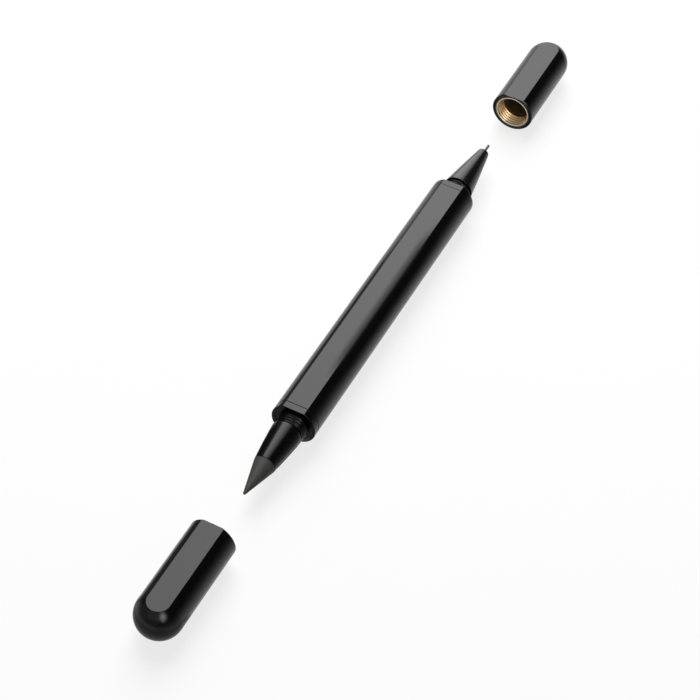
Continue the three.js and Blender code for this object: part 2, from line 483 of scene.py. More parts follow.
def anodised():
    """Smooth black anodised aluminium of the barrel and caps, with a painted brown reflection of the brass in
    their hollows.
    """
    finish = Finish("black_anodised_metal", IOR=BLACK_IOR)
    cloud = finish.noise(180.0)
    grain = finish.noise(6000.0, 3.0)
    drawn = finish.streaks(60.0, 2600.0)
    x, radius = finish.turned_place()
    into_dome = (x.size() - DOME_CENTRE * MM).math("MAXIMUM", 0.0)
    depth = (radius * radius + into_dome * into_dome) ** 0.5
    black = finish.blend(cloud, (0.0018, 0.0018, 0.0021), (0.0036, 0.0036, 0.0040))
    # Painted reflection: inside the caps' hollows the black is painted brown, for the brass inserts that the
    # hollows mirror.
    painted_brass_reflection = finish.blend(cloud, (0.22, 0.165, 0.09), (0.32, 0.24, 0.135))
    finish.set(
        Base_Color=finish.blend(depth < HOLLOW_RADIUS * MM, black, painted_brass_reflection),
        Roughness=0.185 + 0.02 * cloud + 0.02 * drawn + 0.015 * grain,
    )
    texture = 0.0006 * (drawn + 0.5 * grain)
    finish.relief(texture - soft_long_edge(*finish.axes(finish.place)), 1.0)
    return finish.material


def turned_black():
    """The same black on turned pieces, with faint rings from the lathe."""
    finish = Finish("turned_black_metal", IOR=BLACK_IOR)
    cloud = finish.noise(220.0)
    rings = finish.turning(9000.0, 9000.0)
    finish.set(
        Base_Color=finish.blend(cloud, (0.0018, 0.0018, 0.0020), (0.0040, 0.0040, 0.0040)),
        Roughness=0.19 + 0.02 * cloud + 0.03 * rings,
    )
    finish.relief(rings, 0.0008)
    return finish.material


def threaded_black():
    """Black threaded necks, a little duller than the outside."""
    finish = Finish("threaded_black_metal", IOR=THREAD_IOR)
    cloud = finish.noise(500.0)
    rings = finish.turning(12000.0, 12000.0)
    finish.set(
        Base_Color=finish.blend(cloud, (0.0026, 0.0026, 0.0023), (0.0055, 0.0055, 0.0048)),
        Roughness=0.20 + 0.05 * cloud + 0.04 * rings,
    )
    finish.relief(rings, 0.0015)
    return finish.material


def graphite():
    """Matte graphite alloy of the pencil tip, with a fine speckle."""
    finish = Finish("graphite_alloy", IOR=1.45, Specular_IOR_Level=0.4)
    speckle = finish.noise(9000.0, 4.0)
    cloud = finish.noise(700.0)
    rings = finish.turning(5000.0, 5000.0)
    mottle = speckle * 0.6 + cloud * 0.4
    finish.set(
        Base_Color=finish.blend(mottle, (0.030, 0.030, 0.028), (0.062, 0.061, 0.056)),
        Roughness=0.52 + 0.12 * speckle,
    )
    finish.relief(speckle + rings * 0.5, 0.004)
    return finish.material


def brass():
    """Turned brass of the cap inserts and the refill's tip socket, painted paler at the caps' mouths as a
    painted highlight on the rims.
    """
    finish = Finish("turned_brass", Metallic=1.0)
    cloud = finish.noise(350.0)
    rings = finish.turning(14000.0, 14000.0)
    x = finish.turned_place()[0]
    gold = finish.blend(cloud, (0.54, 0.37, 0.185), (0.64, 0.46, 0.26))
    # Painted highlight: the ring at each cap's mouth is painted pale, for the light that it catches.
    pale_rim_highlight = finish.blend(cloud, (0.80, 0.73, 0.56), (0.88, 0.82, 0.67))
    at_mouth = (x.size() - CAP_MOUTH * MM).size() < RIM_DEPTH * MM
    finish.set(
        Base_Color=finish.blend(at_mouth, gold, pale_rim_highlight),
        Roughness=0.35 + 0.07 * cloud + 0.08 * rings,
    )
    finish.relief(rings, 0.002)
    return finish.material


def steel():
    """Drawn steel of the refill tube, needle and stud."""
    finish = Finish("drawn_steel", Metallic=1.0)
    cloud = finish.noise(400.0)
    drawn = finish.streaks(120.0, 9000.0)
    finish.set(
        Base_Color=finish.blend(cloud, (0.50, 0.50, 0.51), (0.60, 0.60, 0.60)),
        Roughness=0.22 + 0.10 * drawn + 0.04 * cloud,
    )
    finish.relief(drawn, 0.001)
    return finish.material


def needle_steel():
    """Darker steel of the needle that carries the ball."""
    finish = Finish("needle_steel", Metallic=1.0)
    cloud = finish.noise(900.0)
    rings = finish.turning(16000.0, 16000.0)
    finish.set(
        Base_Color=finish.blend(cloud, (0.07, 0.07, 0.075), (0.11, 0.11, 0.11)),
        Roughness=0.38 + 0.06 * cloud + 0.06 * rings,
    )
    finish.relief(rings, 0.001)
    return finish.material


def rubber():
    """Dark rubber cushion behind the refill."""
    finish = Finish("dark_rubber", IOR=1.5)
    grain = finish.noise(4000.0, 3.0)
    finish.set(
        Base_Color=finish.blend(grain, (0.012, 0.012, 0.012), (0.022, 0.022, 0.021)),
        Roughness=0.75 + 0.15 * grain,
    )
    finish.relief(grain, 0.006)
    return finish.material


def plastic():
    """Moulded off-white plastic inside the pen."""
    finish = Finish("moulded_plastic", IOR=1.46)
    grain = finish.noise(3000.0, 3.0)
    finish.set(
        Base_Color=finish.blend(grain, (0.66, 0.66, 0.63), (0.72, 0.72, 0.69)),
        Roughness=0.42 + 0.10 * grain,
    )
    finish.relief(grain, 0.003)
    return finish.material


def ink():
    """Black ink inside the refill."""
    finish = Finish("black_ink", IOR=1.4)
    cloud = finish.noise(900.0)
    finish.set(
        Base_Color=finish.blend(cloud, (0.002, 0.002, 0.003), (0.005, 0.005, 0.007)),
        Roughness=0.12 + 0.05 * cloud,
    )
    return finish.material


FINISHES = {
    "anodised": anodised(),
    "turned": turned_black(),
    "threaded": threaded_black(),
    "graphite": graphite(),
    "brass": brass(),
    "steel": steel(),
    "needle_steel": needle_steel(),
    "rubber": rubber(),
    "plastic": plastic(),
    "ink": ink(),
}


# The screw thread, made by Geometry Nodes.


class ShapeTree(Graph):
    """A geometry node tree with named inputs in metres, which moves points and ends in a material."""

    def __init__(self, name, inputs):
        super().__init__(bpy.data.node_groups.new(name, "GeometryNodeTree"))
        face = self.tree.interface
        face.new_socket("Geometry", in_out="INPUT", socket_type="NodeSocketGeometry")
        face.new_socket("Material", in_out="INPUT", socket_type="NodeSocketMaterial")
        for title in inputs:
            face.new_socket(title, in_out="INPUT", socket_type="NodeSocketFloat")
        face.new_socket("Geometry", in_out="OUTPUT", socket_type="NodeSocketGeometry")
        self.entry = self.node("NodeGroupInput").socket.node
        self.given = {title: Value(self, self.entry.outputs[title]) for title in inputs}
        self.place = self.axes(self.node("GeometryNodeInputPosition"))

    def finish(self, offset):
        """Moves the points, makes instances real, sets the material and gives the tree."""
        moved = {"Geometry": Value(self, self.entry.outputs["Geometry"]), "Offset": offset}
        shape = self.node("GeometryNodeSetPosition", {}, moved)
        real = self.node("GeometryNodeRealizeInstances", {}, {0: shape})
        coat = {"Geometry": real, "Material": Value(self, self.entry.outputs["Material"])}
        painted = self.node("GeometryNodeSetMaterial", {}, coat)
        self.node("NodeGroupOutput", {}, {0: painted})
        return self.tree


def thread_tree():
    """Raises a screw thread on a turned surface's rows, or cuts it inwards if the height is negative."""
    titles = ("Axis Height", "Start", "End", "Pitch", "Height", "Run-out", "Surface Radius")
    tree = ShapeTree("screw_thread", titles)
    axis, start, end, pitch, height, run_out, surface = (tree.given[title] for title in titles)
    x, y, z = tree.place
    rise = z - axis
    radius = (y * y + rise * rise) ** 0.5
    turn = y.math("ARCTAN2", rise) / (2 * math.pi)
    wave = 1 - (2 * (x / pitch + turn).fraction() - 1).size()
    ends = ((x - start) / run_out).within() * ((end - x) / run_out).within()
    here = (radius - surface).size() < THREAD_SURFACE * MM
    ridge = (wave * CREST_RAMP).within()
    lift = height * ridge * ends * here / radius
    return tree.finish(tree.vector(0.0, y * lift, rise * lift))


THREAD_TREE = thread_tree()


def shaped(mesh, tree, finish, **sizes):
    """A mesh after a geometry node tree, as plain mesh data."""
    holder = bpy.data.objects.new(mesh.name, mesh)
    bpy.context.scene.collection.objects.link(holder)
    modifier = holder.modifiers.new(tree.name, "NODES")
    modifier.node_group = tree
    values = {title.replace("_", " "): size * MM for title, size in sizes.items()}
    values["Material"] = FINISHES[finish]
    for item in tree.interface.items_tree:
        if item.in_out == "INPUT" and item.name in values:
            modifier[item.identifier] = values[item.name]
    depsgraph = bpy.context.evaluated_depsgraph_get()
    made = bpy.data.meshes.new_from_object(holder.evaluated_get(depsgraph))
    holder.modifiers.remove(modifier)
    bpy.data.objects.remove(holder)
    made.set_sharp_from_angle(angle=CREASE)
    return made


def threaded(mesh, finish, end, start, stop, surface, height):
    """Threads what lies at the surface's radius, between two distances from an end's collar face."""
    face, side = end
    low, high = sorted((face + side * start, face + side * stop))
    sizes = {"Axis_Height": AXIS_HEIGHT, "Start": low, "End": high, "Pitch": THREAD_PITCH}
    sizes.update({"Height": height, "Run-out": THREAD_RUN_OUT, "Surface_Radius": surface})
    return shaped(mesh, THREAD_TREE, finish, **sizes)


def piece(name, mesh, finish, node):
    """Adds a finished piece that stands for a node and rides on its body. The node itself is hidden."""
    mesh.name = name
    mesh.materials.clear()
    mesh.materials.append(FINISHES[finish])
    made = bpy.data.objects.new(name, mesh)
    bpy.context.scene.collection.objects.link(made)
    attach(made, BODY_OF[node])
    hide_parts(node)
    return made


# The barrel and the collars at its two ends.
BARREL_WALL = 0.7
COLLAR_LENGTH = 1.7
COLLAR_CHAMFER = 0.1
COLLAR_RECESS = 0.15
COLLAR_RIM = 0.3
COLLAR_BORE = 3.55
SPIGOT_RADIUS = 4.25


def barrel():
    """The barrel tube: round outside with one flat, and a round bore."""
    low, high = reach("barrel_tube", MIDDLE)
    bore = FLAT - BARREL_WALL
    corners = [
        (low, bore, FINE_EDGE),
        (low, BODY_RADIUS, FINE_EDGE),
        (high, BODY_RADIUS, TIGHT_EDGE),
        (high, bore, FINE_EDGE),
    ]
    rows = []
    outline = rounded(corners)
    for row, after in zip(outline, outline[1:] + outline[:1]):
        rows.append(row)
        if after[0] - row[0] > LONG_STRETCH:
            between = spaced(row[0], after[0], (high - low) / BARREL_ROWS)[1:-1]
            rows.extend((along, BODY_RADIUS) for along in between)
    rings = sections(rows, (low, high), (FINE_EDGE, TIGHT_EDGE))
    return ring_mesh("barrel", rings, MIDDLE)


def collar(end, node, seam_edge):
    """A collar with its spigot in the barrel and a recess round its neck."""
    rear = reach(node, end)[0]
    recess = FLAT - COLLAR_RIM
    corners = [
        (rear, COLLAR_BORE, FINE_EDGE),
        (rear, SPIGOT_RADIUS, FINE_EDGE),
        (-COLLAR_LENGTH, SPIGOT_RADIUS, 0),
        (-COLLAR_LENGTH, BODY_RADIUS, seam_edge),
        (0, BODY_RADIUS, COLLAR_CHAMFER),
        (0, recess, FINE_EDGE),
        (-COLLAR_RECESS, recess, FINE_EDGE),
        (-COLLAR_RECESS, COLLAR_BORE, FINE_EDGE),
    ]
    rings = sections(rounded(corners), (-COLLAR_LENGTH, 0), (seam_edge, FINE_EDGE))
    return ring_mesh(node, rings, end)


# The refill and the pieces round it.
REFILL_BORE = 1.3
REFILL_WALL = 0.2
TUBE_BORE = 0.95
TAIL_BORE = 0.3
TIP_SOCKET_SHOULDER = 4.2
TIP_SOCKET_BAND = 0.6
TIP_SOCKET_FRONT = 0.66
TIP_SOCKET_HOLE = 0.15
NEEDLE_RADIUS = 0.34
NEEDLE_IN_SOCKET = 2
NEEDLE_LIP = 0.18
BALL_SEAT = 0.275
BALL_SEAT_WALL = 0.015
CUSHION_EDGE = 0.3
CUSHION_LIP = 0.2

# Necks, cones and the pencil tip. A cone's plug sits in its neck's socket.
NECK_LENGTH = 3.1
NECK_RADIUS = 3.6
NECK_ROOT = 0.3
NECK_RELIEF = 0.4
RELIEF_RADIUS = 3.4
SOCKET_RADIUS = 2.6
SOCKET_FLOOR = 0.7
CONE_BASE = 3.85
CONE_SWELL = 0.06
STUD_RADIUS = 1.1
STUD_SEAM = 0.12
TIP_POINT = 0.35
PEN_CONE_FRONT = 1.45
PEN_CONE_NOSE = 0.5
PEN_CONE_TAPER = 0.02
NEEDLE_ROOM = 0.15


def neck(end, node):
    """A threaded neck, with a socket for its cone and a bore for the refill."""
    rear, front = reach(node, end)
    thread_end = front - NECK_RELIEF
    outline = rounded([
        (NECK_ROOT, NECK_RADIUS, FINE_EDGE),
        (thread_end, NECK_RADIUS, FINE_EDGE),
        (thread_end, RELIEF_RADIUS, FINE_EDGE),
        (front, RELIEF_RADIUS, FINE_EDGE),
        (front, SOCKET_RADIUS, FINE_EDGE),
        (SOCKET_FLOOR, SOCKET_RADIUS, 0),
        (SOCKET_FLOOR, REFILL_BORE, 0),
        (rear, REFILL_BORE, FINE_EDGE),
        (rear, COLLAR_BORE - FIT, FINE_EDGE),
        (NECK_ROOT, COLLAR_BORE - FIT, 0),
    ])
    rows = []
    for row, after in zip(outline, outline[1:] + outline[:1]):
        rows.append(row)
        if level(row, after, NECK_RADIUS) and after[0] - row[0] > LONG_STRETCH:
            between = spaced(row[0], after[0], THREAD_ROW)[1:-1]
            rows.extend((along, NECK_RADIUS) for along in between)
    mesh = ring_mesh(node, circles(rows), end)
    start = NECK_ROOT - THREAD_RUN_OUT
    return threaded(mesh, "threaded", end, start, thread_end - HOLD, NECK_RADIUS, NECK_THREAD)


def cone_side(start, start_radius, stop, stop_radius):
    """Side of a cone that swells a little in the middle."""
    rows = []
    for i in range(SIDE_STEPS + 1):
        share = i / SIDE_STEPS
        straight = start_radius + (stop_radius - start_radius) * share
        swell = CONE_SWELL * 4 * share * (1 - share)
        rows.append((start + (stop - start) * share, straight + swell))
    return rows


def cone_rear(rear, bore):
    """Plug and rear edge of a cone, from its bore out to its widest place."""
    corners = [
        (rear, bore, 0),
        (rear, SOCKET_RADIUS - FIT, FINE_EDGE),
        (NECK_LENGTH, SOCKET_RADIUS - FIT, 0),
        (NECK_LENGTH, CONE_BASE, SOFT_EDGE),
        (NECK_LENGTH + LONG_STRETCH, CONE_BASE, 0),
    ]
    return rounded(corners, closed=False)[:-1]


def pencil_cone():
    """The pencil's cone, bored in front for the tip's stud."""
    rear, front = reach("pencil_cone", PENCIL_SIDE)
    front_radius = widest("pencil_tip")
    bore = STUD_RADIUS + FIT
    bore_floor = reach("pencil_tip_stud", PENCIL_SIDE)[0] - STUD_SEAM
    rows = cone_rear(rear, 0)
    side = cone_side(rows[-1][0], rows[-1][1], front, front_radius)
    rows += side[1:-1]
    rows += rounded([
        (*side[-2], 0),
        (front, front_radius, FINE_EDGE),
        (front, bore, FINE_EDGE),
        (bore_floor, bore, 0),
        (bore_floor, 0, 0),
    ], closed=False)[1:]
    return ring_mesh("pencil_cone", circles(rows), PENCIL_SIDE, closed=False)


def pencil_tip():
    """The writing tip: a cone with a rounded point, bored behind for its stud."""
    rear, front = reach("pencil_tip", PENCIL_SIDE)
    radius = widest("pencil_tip")
    bore = STUD_RADIUS + FIT
    bore_floor = reach("pencil_tip_stud", PENCIL_SIDE)[1] + STUD_SEAM
    slope = math.atan2(radius - TIP_POINT, front - rear)
    rows = rounded([
        (bore_floor, 0, 0),
        (bore_floor, bore, 0),
        (rear, bore, FINE_EDGE),
        (rear, radius, FINE_EDGE),
        (front - TIP_POINT, TIP_POINT, 0),
    ], closed=False)[:-1]
    steps = EDGE_STEPS * 2
    for i in range(steps + 1):
        angle = (math.pi / 2 - slope) * (1 - i / steps)
        along = front - TIP_POINT + TIP_POINT * math.cos(angle)
        rows.append((along, TIP_POINT * math.sin(angle)))
    return ring_mesh("pencil_tip", circles(rows), PENCIL_SIDE, closed=False)


def plain_turning(node, end, bore=0.0, steps=SMALL_STEPS, edge=FINE_EDGE):
    """A straight turned piece with broken edges, as wide and long as its node."""
    low, high = reach(node, end)
    radius = widest(node)
    if not bore:
        corners = [(low, 0, 0), (low, radius, edge), (high, radius, edge), (high, 0, 0)]
        return ring_mesh(node, circles(rounded(corners, closed=False), steps), end, closed=False)
    corners = [(low, bore, edge), (low, radius, edge), (high, radius, edge), (high, bore, edge)]
    return ring_mesh(node, circles(rounded(corners), steps), end)


def pen_cone():
    """The pen's cone, bored through for the refill, with a rounded nose round the needle."""
    rear, front = reach("pen_cone", PEN_SIDE)
    shoulder = reach("refill_tip_socket", PEN_SIDE)[1] - TIP_SOCKET_SHOULDER
    rows = cone_rear(rear, REFILL_BORE)
    side = cone_side(rows[-1][0], rows[-1][1], front, PEN_CONE_FRONT)
    rows += side[1:-2]
    hole = NEEDLE_RADIUS + NEEDLE_ROOM
    rows += rounded([
        (*side[-3], 0),
        (front, PEN_CONE_FRONT - PEN_CONE_TAPER, PEN_CONE_NOSE),
        (front, hole, FINE_EDGE),
        (front - PEN_CONE_NOSE, hole, 0),
        (front - PEN_CONE_NOSE, TIP_SOCKET_FRONT + NEEDLE_ROOM, 0),
        (shoulder, REFILL_BORE, 0),
    ], closed=False)[1:]
    return ring_mesh("pen_cone", circles(rows), PEN_SIDE)


def refill_socket():
    """The brass socket that closes the refill tube and holds the needle."""
    low, high = reach("refill_tip_socket", PEN_SIDE)
    radius = widest("refill_tip_socket")
    shoulder = high - TIP_SOCKET_SHOULDER
    plug = radius - REFILL_WALL - FIT
    seat = high - NEEDLE_IN_SOCKET
    rows = rounded([
        (low, TIP_SOCKET_HOLE, 0),
        (low, plug, FINE_EDGE),
        (shoulder, plug, 0),
        (shoulder, radius, FINE_EDGE),
        (shoulder + TIP_SOCKET_BAND, radius, FINE_EDGE),
        (high, TIP_SOCKET_FRONT, FINE_EDGE),
        (high, NEEDLE_RADIUS + FIT, 0),
        (seat, NEEDLE_RADIUS + FIT, 0),
        (seat, TIP_SOCKET_HOLE, 0),
    ])
    return ring_mesh("refill_socket", circles(rows, SMALL_STEPS), PEN_SIDE)


def needle():
    """The hollow needle, whose lip narrows round the ball."""
    low, high = reach("refill_needle", PEN_SIDE)
    seat = high - NEEDLE_LIP * 2
    rows = [
        (low, TIP_SOCKET_HOLE),
        (low, NEEDLE_RADIUS),
        (high - NEEDLE_LIP, NEEDLE_RADIUS),
        (high, BALL_SEAT + BALL_SEAT_WALL),
        (high, BALL_SEAT),
        (seat, BALL_SEAT),
        (seat, TIP_SOCKET_HOLE),
    ]
    return ring_mesh("needle", circles(rows, SMALL_STEPS), PEN_SIDE)


def writing_ball():
    """The ball in the needle's point."""
    low, high = reach("refill_ball", PEN_SIDE)
    radius = (high - low) / 2
    rows = []
    for i in range(CAVITY_STEPS + 1):
        angle = math.pi * i / CAVITY_STEPS
        rows.append((low + radius - radius * math.cos(angle), radius * math.sin(angle)))
    return ring_mesh("writing_ball", circles(rows, SMALL_STEPS), PEN_SIDE, closed=False)


def cushion():
    """Rubber pad with a shallow seat that the refill's tail stands in."""
    low, high = reach("refill_cushion", PEN_SIDE)
    radius = widest("refill_cushion")
    seat = reach("refill_tail_plug", PEN_SIDE)[0] - FIT
    rows = rounded([
        (low, 0, 0),
        (low, radius, CUSHION_EDGE),
        (high, radius, CUSHION_EDGE),
        (high, REFILL_BORE, CUSHION_LIP),
        (seat, REFILL_BORE, 0),
        (seat, 0, 0),
    ], closed=False)
    return ring_mesh("cushion", circles(rows), PEN_SIDE, closed=False)


# The caps and the brass inserts in their mouths.
CAP_CHAMFER = 0.2
CAP_CAVITY = 4.15
SEAT_RADIUS = 4.6
SEAT_DEPTH = 4.37
DOME_WALL = 1.35
INSERT_BORE = 4.24
INSERT_RIM_EDGE = 0.03
INSERT_THREAD_START = 0.1
INSERT_THREAD_END = 0.3


def cap_shell(node, end):
    """A cap: its side and mouth, its hollow, and its dome, on which the flat ends in an arc."""
    mouth, tip = reach(node, end)
    centre = tip - BODY_RADIUS
    hollow = tip - DOME_WALL - CAP_CAVITY
    rows = [(centre, BODY_RADIUS), (centre - HOLD, BODY_RADIUS)]
    rows += rounded([
        (centre - HOLD, BODY_RADIUS, 0),
        (mouth + CAP_CHAMFER, BODY_RADIUS, FINE_EDGE),
        (mouth, BODY_RADIUS - CAP_CHAMFER, FINE_EDGE),
        (mouth, SEAT_RADIUS, FINE_EDGE),
        (mouth + SEAT_DEPTH, SEAT_RADIUS, 0),
        (mouth + SEAT_DEPTH, CAP_CAVITY, FINE_EDGE),
        (hollow, CAP_CAVITY, 0),
    ], closed=False)[1:-1]
    for i in range(CAVITY_STEPS + 1):
        angle = math.pi / 2 * i / CAVITY_STEPS
        rows.append((hollow + CAP_CAVITY * math.sin(angle), CAP_CAVITY * math.cos(angle)))
    skin = Skin()
    rings = sections(rows[:-1], (mouth, tip)) + [[Vector((rows[-1][0], 0, 0))]]
    first = skin.rings(rings, closed=False)[0]
    front = first[: HALF + 1]
    back = [first[-i % len(first)] for i in range(HALF + 1)]
    previous = front
    for step in range(1, DOME_STEPS + 1):
        if step == DOME_STEPS:
            column = back
        else:
            turn = math.pi * step / DOME_STEPS
            between = [skin.points[index] for index in front[1:-1]]
            outward = math.sin(turn)
            sideways = math.cos(turn)
            swung = [Vector((centre + p.y * outward, p.y * sideways, p.z)) for p in between]
            column = [front[0]] + skin.add(swung) + [front[-1]]
        skin.join(previous, column, closed=False)
        previous = column
    return skin.mesh(node, end)


def cap_insert(node, end):
    """Brass sleeve in a cap's mouth, threaded inside."""
    mouth, rear = reach(node, end)
    radius = widest(node)
    corners = [
        (mouth, INSERT_BORE + INSERT_EDGE, INSERT_RIM_EDGE),
        (mouth, radius, INSERT_RIM_EDGE),
        (rear, radius, INSERT_RIM_EDGE),
        (rear, INSERT_BORE, FINE_EDGE),
        (mouth + INSERT_EDGE, INSERT_BORE, INSERT_RIM_EDGE),
    ]
    outline = rounded(corners)
    rows = []
    for row, after in zip(outline, outline[1:] + outline[:1]):
        rows.append(row)
        if level(row, after, INSERT_BORE) and row[0] - after[0] > LONG_STRETCH:
            between = spaced(row[0], after[0], THREAD_ROW)[1:-1]
            rows.extend((along, INSERT_BORE) for along in between)
    mesh = ring_mesh(node, circles(rows), end)
    start = mouth + INSERT_EDGE + INSERT_THREAD_START
    stop = rear - INSERT_THREAD_END
    return threaded(mesh, "brass", end, start, stop, INSERT_BORE, -INSERT_THREAD)


# The pieces, each standing for its node.
piece("barrel_body", barrel(), "anodised", "barrel_tube")
pen_collar = collar(PEN_SIDE, "pen_end_collar", TIGHT_EDGE)
piece("pen_collar", pen_collar, "turned", "pen_end_collar")
pencil_collar = collar(PENCIL_SIDE, "pencil_end_collar", FINE_EDGE)
piece("pencil_collar", pencil_collar, "turned", "pencil_end_collar")
divider = plain_turning("divider_plug", PEN_SIDE, steps=ROUND_STEPS, edge=BROAD_EDGE)
piece("divider", divider, "plastic", "divider_plug")
piece("cushion", cushion(), "rubber", "refill_cushion")
piece("pencil_neck_threaded", neck(PENCIL_SIDE, "pencil_neck"), "threaded", "pencil_neck")
piece("pen_neck_threaded", neck(PEN_SIDE, "pen_neck"), "threaded", "pen_neck")
piece("pencil_cone_turned", pencil_cone(), "turned", "pencil_cone")
piece("pen_cone_turned", pen_cone(), "turned", "pen_cone")
piece("graphite_tip", pencil_tip(), "graphite", "pencil_tip")
tip_stud = plain_turning("pencil_tip_stud", PENCIL_SIDE, edge=BROAD_EDGE)
piece("tip_stud", tip_stud, "steel", "pencil_tip_stud")
refill_barrel = plain_turning("refill_tube", PEN_SIDE, bore=TUBE_BORE)
piece("refill_barrel", refill_barrel, "steel", "refill_tube")
piece("refill_socket", refill_socket(), "brass", "refill_tip_socket")
piece("needle", needle(), "needle_steel", "refill_needle")
piece("writing_ball", writing_ball(), "steel", "refill_ball")
piece("ink_column", plain_turning("refill_ink", PEN_SIDE), "ink", "refill_ink")
tail_plug = plain_turning("refill_tail_plug", PEN_SIDE, bore=TAIL_BORE)
piece("tail_plug", tail_plug, "plastic", "refill_tail_plug")
for side, end in (("pen", PEN_SIDE), ("pencil", PENCIL_SIDE)):
    shell, insert = f"{side}_cap_shell", f"{side}_cap_insert"
    piece(f"{side}_cap_body", cap_shell(shell, end), "anodised", shell)
    piece(f"{side}_cap_thread", cap_insert(insert, end), "brass", insert)


# The camera stands where the photograph was taken from. Its lengths are in millimetres.
CAMERA_AZIMUTH = -64.978
CAMERA_ELEVATION = 48.877
CAMERA_ROLL = 3.2
CAMERA_DISTANCE = 473.481
CAMERA_AIM = (-16.325, -1.013, 5.688)
CAMERA_LENS = 102.747
CAMERA_SENSOR = 36.0
CAMERA_NEAR = 10

# The studio, in metres: a round floor, soft light, and cards on all sides that only reflections see.
FLOOR_RADIUS = 6.0
FLOOR_WHITE = 1.12
FLOOR_SHARE = 0.70
WORLD_FALL = 0.15
CARD_DARK = 0.01
CARD_END = 2
CARD_FAR = 1.1
CARD_TOP = 1.6
WALL_FOOT = 0.001
END_WALL_FOOT = 0.002
SHADOW_PATCH_HEIGHT = 0.0003
KEY_DIRECTION = (0.60, 0.323, 0.732)
KEY_DISTANCE = 0.9
KEY_SIZE = (0.62, 1.0)
KEY_RADIANCE = 6.2
# Where the card of the painted dome highlight stands, and its half size. It glows with no lamp behind it.
DOME_HIGHLIGHT_DIRECTION = (-0.545, -0.551, 0.629)
DOME_HIGHLIGHT_HALF = 0.28


def stood(place, right, up, back):
    """The matrix of a camera or lamp at a place, with its back turned away from what it faces."""
    return Matrix.Translation(place) @ Matrix((right, up, back)).transposed().to_4x4()


def photograph_camera():
    """The camera, from its two angles about the pen, its roll and what it aims at."""
    azimuth = math.radians(CAMERA_AZIMUTH)
    elevation = math.radians(CAMERA_ELEVATION)
    roll = math.radians(CAMERA_ROLL)
    ahead = math.cos(elevation)
    back = Vector((math.sin(azimuth) * ahead, -math.cos(azimuth) * ahead, math.sin(elevation)))
    across = Vector((math.cos(azimuth), math.sin(azimuth), 0))
    right = across * math.cos(roll) + back.cross(across) * math.sin(roll)
    up = back.cross(right)
    data = bpy.data.cameras.new("photograph_camera")
    data.lens = CAMERA_LENS
    data.sensor_width = CAMERA_SENSOR
    data.clip_start = CAMERA_NEAR * MM
    camera = bpy.data.objects.new("photograph_camera", data)
    bpy.context.scene.collection.objects.link(camera)
    stand = (Vector(CAMERA_AIM) + back * CAMERA_DISTANCE) * MM
    camera.matrix_world = stood(stand, right, up, back)
    bpy.context.scene.camera = camera


def seen_or_mirrored(graph):
    """1 for what the camera sees straight, mirrored or through glass, and 0 for light that falls."""
    path = graph.node("ShaderNodeLightPath").socket.node
    rays = [Value(graph, path.outputs[f"Is {kind} Ray"]) for kind in ("Camera", "Glossy", "Transmission")]
    return (rays[0] + rays[1] + rays[2]).within()


def floor():
    """A pale round floor that reads as white and keeps the pen's shadow."""
    turns = [2 * math.pi * i / ROUND_STEPS for i in range(ROUND_STEPS)]
    points = [Vector((FLOOR_RADIUS * math.cos(turn), FLOOR_RADIUS * math.sin(turn), 0)) for turn in turns]
    mesh = bpy.data.meshes.new("floor")
    mesh.from_pydata(points, [], [list(range(ROUND_STEPS))])
    finish = Finish("pale_floor", Specular_IOR_Level=0.0, Roughness=0.9)
    paper = finish.noise(40.0)
    finish.set(Base_Color=finish.blend(paper, (0.71, 0.71, 0.71), (0.73, 0.73, 0.73)))
    white = finish.node("ShaderNodeEmission", {}, {"Strength": FLOOR_WHITE})
    lit = Value(finish, finish.shader.outputs[0])
    seen = seen_or_mirrored(finish) * FLOOR_SHARE
    mixed = finish.node("ShaderNodeMixShader", {}, {0: seen, 1: lit, 2: white})
    finish.tree.links.new(mixed.socket, finish.end.inputs["Surface"])
    mesh.materials.append(finish.material)
    made = bpy.data.objects.new("floor", mesh)
    bpy.context.scene.collection.objects.link(made)


def world():
    """Even light from all round, and a white background."""
    made = bpy.data.worlds.new("studio")
    made.use_nodes = True
    graph = Graph(made.node_tree)
    graph.tree.nodes.clear()
    strength = WORLD_FALL + (1 - WORLD_FALL) * seen_or_mirrored(graph)
    light = graph.node("ShaderNodeBackground", {}, {"Color": (1, 1, 1, 1), "Strength": strength})
    graph.node("ShaderNodeOutputWorld", {}, {"Surface": light})
    bpy.context.scene.world = made


def card(name, corners, glow, *fades):
    """A studio card that only reflections see. Each fade, an axis and its stops, changes its glow along it."""
    mesh = bpy.data.meshes.new(name)
    mesh.from_pydata([Vector(c) for c in corners], [], [list(range(len(corners)))])
    white = (1, 1, 1, 1)
    finish = Finish(
        f"{name}_cloth", Specular_IOR_Level=0.0, Roughness=1.0, Emission_Strength=glow, Emission_Color=white
    )
    weave = finish.noise(300.0)
    finish.set(Base_Color=finish.blend(weave, (CARD_DARK,) * 3, (CARD_DARK * 1.2,) * 3))
    colour = None
    for axis, stops in fades:
        low, high = stops[0][0], stops[-1][0]
        along = finish.axes(finish.place)["XYZ".index(axis)]
        share = ((along - low) / (high - low)).within()
        ramp = [((at - low) / (high - low), (tone,) * 3) for at, tone in stops]
        shade = finish.node("ShaderNodeValToRGB", {"stops": ramp}, {"Fac": share})
        if colour:
            settings = {"data_type": "RGBA", "blend_type": "MULTIPLY"}
            inputs = {"Factor": 1.0, 6: colour, 7: shade}
            shade = finish.node("ShaderNodeMix", settings, inputs, 2)
        colour = shade
        finish.set(Emission_Color=colour)
    mesh.materials.append(finish.material)
    made = bpy.data.objects.new(name, mesh)
    bpy.context.scene.collection.objects.link(made)
    made.visible_camera = False
    made.visible_diffuse = False
    made.visible_shadow = False


def facing(direction, across):
    """Axes of a square thing that faces the pen from a direction: right, up and towards it."""
    towards = Vector(direction).normalized()
    right = Vector(across)
    right = (right - towards * right.dot(towards)).normalized()
    return right, towards.cross(right), towards


